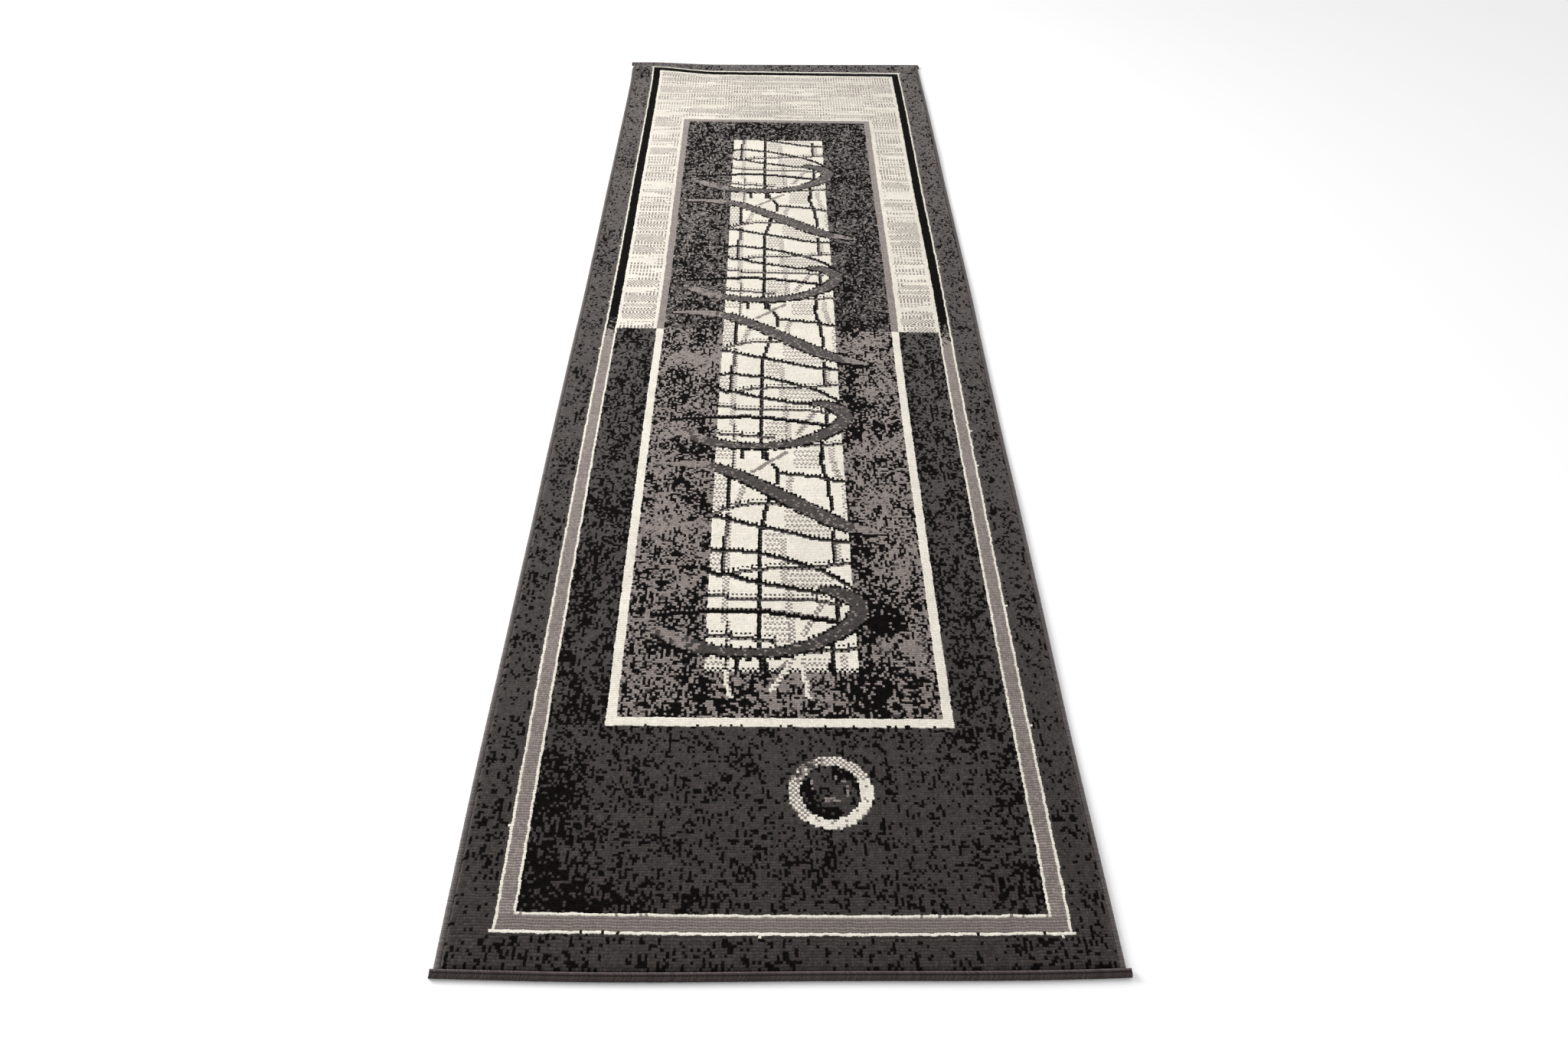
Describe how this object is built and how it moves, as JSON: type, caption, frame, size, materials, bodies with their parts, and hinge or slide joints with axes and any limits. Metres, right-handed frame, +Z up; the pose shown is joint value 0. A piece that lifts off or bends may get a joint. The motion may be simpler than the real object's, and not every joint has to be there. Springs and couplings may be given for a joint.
{
  "type": "runner rug",
  "caption": "Long narrow machine-woven pile rug with a plain border, wide two-tone frame, pale centre panel and open brush-stroke ovals, lying flat.",
  "frame": {"origin": "on the floor under the middle of the rug", "axes": "+X across the rug, +Y along it from the front end with the small ring to the back end with the light frame, +Z up"},
  "size_m": [0.708, 2.5, 0.0094],
  "materials": {
    "coating": "dried clear-beige latex size over woven yarn, matt",
    "ground": "jute and polycotton ground weave, matt",
    "binding": "taupe-grey overlock yarn, slight sheen",
    "charcoal": "cut heat-set pile, charcoal with black flecks, soft sheen",
    "cream": "cut heat-set pile, cream, soft sheen",
    "black": "cut heat-set pile, black, soft sheen",
    "taupe": "cut heat-set pile, taupe, soft sheen",
    "light_mix": "cut heat-set pile, cream and taupe in streaks",
    "dark_mix": "cut heat-set pile, charcoal and black mottled",
    "field_mix": "cut heat-set pile, taupe, charcoal and black mottled",
    "sweep": "cut heat-set pile, charcoal to taupe brush strokes",
    "ring_mix": "cut heat-set pile, cream dots on taupe"
  },
  "bodies": {
    "root": {"back_coating": "coating", "ground_weave": "ground", "serging_left": "binding", "serging_right": "binding", "hem_front": "binding", "hem_back": "binding", "border_pile_left": "charcoal", "border_pile_right": "charcoal", "border_pile_front": "charcoal", "border_pile_back": "charcoal", "outer_pinstripe_left": "cream", "outer_pinstripe_right": "cream", "outer_pinstripe_front": "cream", "outer_pinstripe_back": "cream", "black_band": "black", "taupe_band": "taupe", "inner_pinstripe": "cream", "light_frame_left": "light_mix", "light_frame_right": "light_mix", "light_frame_back": "light_mix", "dark_frame_left": "dark_mix", "dark_frame_right": "dark_mix", "dark_frame_front": "dark_mix", "taupe_line": "taupe", "cream_line": "cream", "upper_field_left": "field_mix", "upper_field_right": "field_mix", "upper_field_back": "field_mix", "lower_field_left": "field_mix", "lower_field_right": "field_mix", "lower_field_front": "field_mix", "centre_panel": "cream", "oval_sweeps": "sweep", "diagonal_sweeps": "sweep", "ring": "ring_mix", "ring_centre": "dark_mix"}
  },
  "joints": []
}
